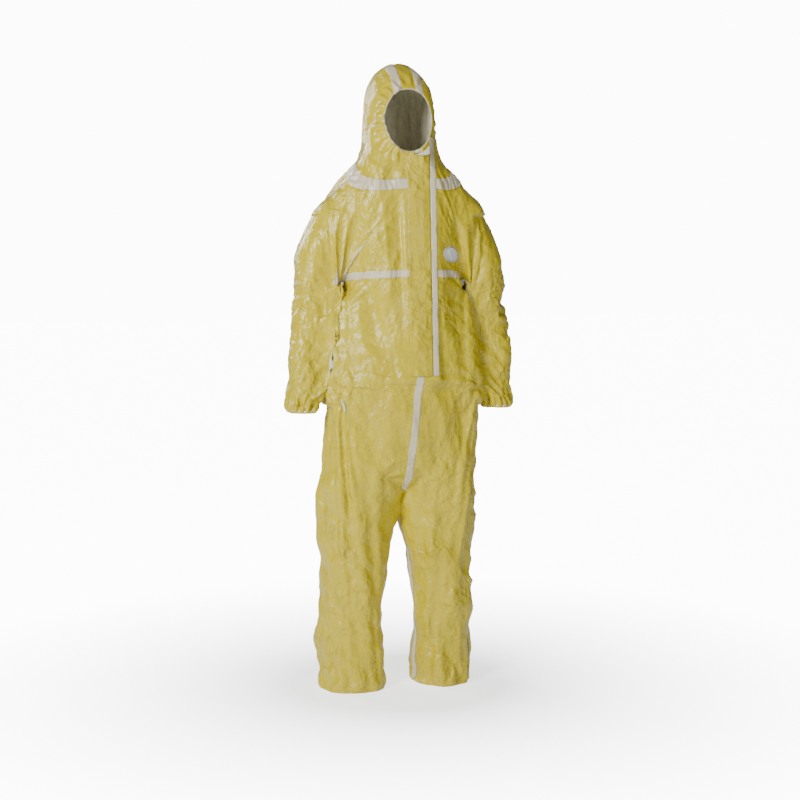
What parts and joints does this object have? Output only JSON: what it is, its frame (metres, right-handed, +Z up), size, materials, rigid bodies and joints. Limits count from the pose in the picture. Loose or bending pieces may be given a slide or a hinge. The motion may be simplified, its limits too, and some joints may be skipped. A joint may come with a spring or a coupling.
{
  "type": "chemical protective suit",
  "caption": "Hooded one-piece chemical splash suit with taped seams, a storm flap over a front zip, and elastic at face, cuffs and ankles",
  "frame": {"origin": "neck point: middle of the neck at the height where the neck seam crosses the sides of the neck", "axes": "+Z up, -Y the front of the suit, +X the wearer's left"},
  "size_m": [0.694, 0.3116, 1.764],
  "materials": {
    "film": "glossy crinkled film laminate",
    "seam_tape": "satin film tape",
    "elastic": "matte",
    "zip_tape": "woven",
    "zip_coil": "satin",
    "zip_slider": "enamelled",
    "label": "satin film",
    "adhesive": "release paper"
  },
  "bodies": {
    "suit": {"ankle_elastic_left": "elastic", "ankle_elastic_right": "elastic", "body_leg_left": "film", "body_leg_right": "film", "centre_back_tape": "seam_tape", "chest_label": "label", "chest_tape_back_left": "seam_tape", "chest_tape_back_right": "seam_tape", "chest_tape_front_left": "seam_tape", "chest_tape_front_right": "seam_tape", "cuff_elastic_left": "elastic", "cuff_elastic_right": "elastic", "face_elastic": "elastic", "flap_seam_tape": "seam_tape", "front_crotch_tape": "seam_tape", "hood_crown_panel": "film", "hood_left_panel": "film", "hood_right_panel": "film", "hood_tape_left": "seam_tape", "hood_tape_right": "seam_tape", "inseam_tape_left": "seam_tape", "inseam_tape_right": "seam_tape", "neck_tape": "seam_tape", "underarm_tape_left": "seam_tape", "underarm_tape_right": "seam_tape", "waist_elastic": "elastic", "yoke_sleeve_left": "film", "yoke_sleeve_right": "film", "zip_bottom_stop": "zip_coil", "zip_chain_left": "zip_coil", "zip_chain_right": "zip_coil", "zip_tape_left": "zip_tape", "zip_tape_right": "zip_tape", "zip_top_stop_left": "zip_coil", "zip_top_stop_right": "zip_coil"},
    "flap": {"storm_flap": "film", "flap_adhesive_strip": "adhesive"},
    "slider": {"zip_slider": "zip_slider"},
    "puller": {"zip_puller": "zip_slider"}
  },
  "joints": [
    {"name": "storm_flap_fold", "type": "hinge", "parent": "suit", "child": "flap", "pos_m": [0.0552, -0.1596, -0.56987], "axis": [0, 0.066, 0.9978], "range_deg": [0, 140]},
    {"name": "zip_slide", "type": "slide", "parent": "suit", "child": "slider", "axis": [0, 0.066, 0.9978], "range_m": [-0.56, 0]},
    {"name": "puller_swing", "type": "hinge", "parent": "slider", "child": "puller", "pos_m": [0.02, -0.12215, 0.0009], "axis": [-1, 0, 0], "range_deg": [0, 126]}
  ],
  "couplings": [
    {"joint": "storm_flap_fold", "follows": "puller_swing", "ratio": 1.1111}
  ]
}
